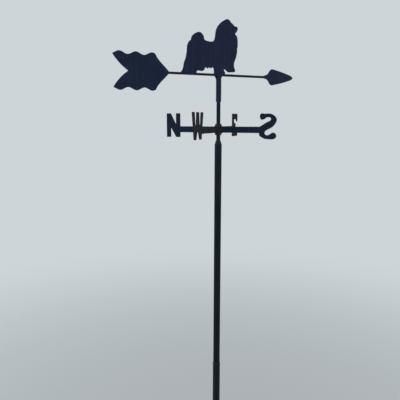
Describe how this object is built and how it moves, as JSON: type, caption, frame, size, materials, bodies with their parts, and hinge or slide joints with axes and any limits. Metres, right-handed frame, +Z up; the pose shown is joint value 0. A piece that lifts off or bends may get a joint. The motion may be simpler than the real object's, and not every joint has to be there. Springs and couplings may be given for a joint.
{
  "type": "weathervane",
  "caption": "Garden-stake weathervane: a dog silhouette on an arrow turning on a rod above compass letters, on a two-part steel pole with a ground spike.",
  "frame": {"origin": "on the pole's vertical axis at the ground line, the underside of the foot step, where the ground spike starts", "axes": "+Z up along the pole; -X is north, +Y east, +X south and -Y west, as the compass letters say; the vane's arrow points 46.5 degrees from +X toward +Y at rest"},
  "size_m": [0.3633, 0.3826, 1.7689],
  "materials": {
    "vane_paint": "satin dark blue-black paint",
    "cross_paint": "satin blue-black paint",
    "cross_paint_dusty": "satin black paint, dusty",
    "mast_paint": "satin black paint",
    "rod_paint": "satin black paint, rubbed",
    "stake_paint": "satin black paint, scuffed by soil",
    "weld_steel": "dull weld metal",
    "bare_steel": "turned steel",
    "screw_steel": "zinc-plated steel, gone dull and dark",
    "ball_steel": "polished bearing steel"
  },
  "bodies": {
    "mast": {"mast_tube": "mast_paint", "spindle_rod": "rod_paint", "rod_weld": "mast_paint"},
    "stake": {"ground_spike": "stake_paint", "foot_step": "stake_paint", "spike_weld": "weld_steel", "tube_weld": "stake_paint", "ground_tube": "stake_paint", "mast_stop_pin": "bare_steel"},
    "directionals": {"hub_collar": "cross_paint", "north_arm": "cross_paint", "east_arm": "cross_paint_dusty", "south_arm": "cross_paint", "west_arm": "cross_paint_dusty", "arm_welds": "cross_paint"},
    "set_screw": {"set_screw": "screw_steel"},
    "ball": {"bearing_ball": "ball_steel"},
    "vane": {"pivot_sleeve": "vane_paint", "sleeve_plug": "bare_steel", "sleeve_weld": "vane_paint", "arrow_shaft": "vane_paint", "arrow_head": "vane_paint", "head_welds": "vane_paint", "tail_plate": "vane_paint", "tail_welds": "vane_paint", "dog_plate": "vane_paint", "dog_welds": "vane_paint"}
  },
  "joints": [
    {"name": "mast_lift", "type": "slide", "parent": "stake", "child": "mast", "axis": [0, 0, 1], "range_m": [0, 0.15]},
    {"name": "directionals_turn", "type": "hinge", "parent": "mast", "child": "directionals", "pos_m": [0, 0, 1.25], "axis": [0, 0, 1], "continuous": true},
    {"name": "set_screw_out", "type": "slide", "parent": "directionals", "child": "set_screw", "axis": [0.7071, -0.7071, 0], "range_m": [0, 0.003]},
    {"name": "vane_lift", "type": "slide", "parent": "mast", "child": "ball", "axis": [0, 0, 1], "range_m": [0, 0.06]},
    {"name": "vane_turn", "type": "hinge", "parent": "ball", "child": "vane", "pos_m": [0, 0, 1.39], "axis": [0, 0, 1], "continuous": true}
  ]
}
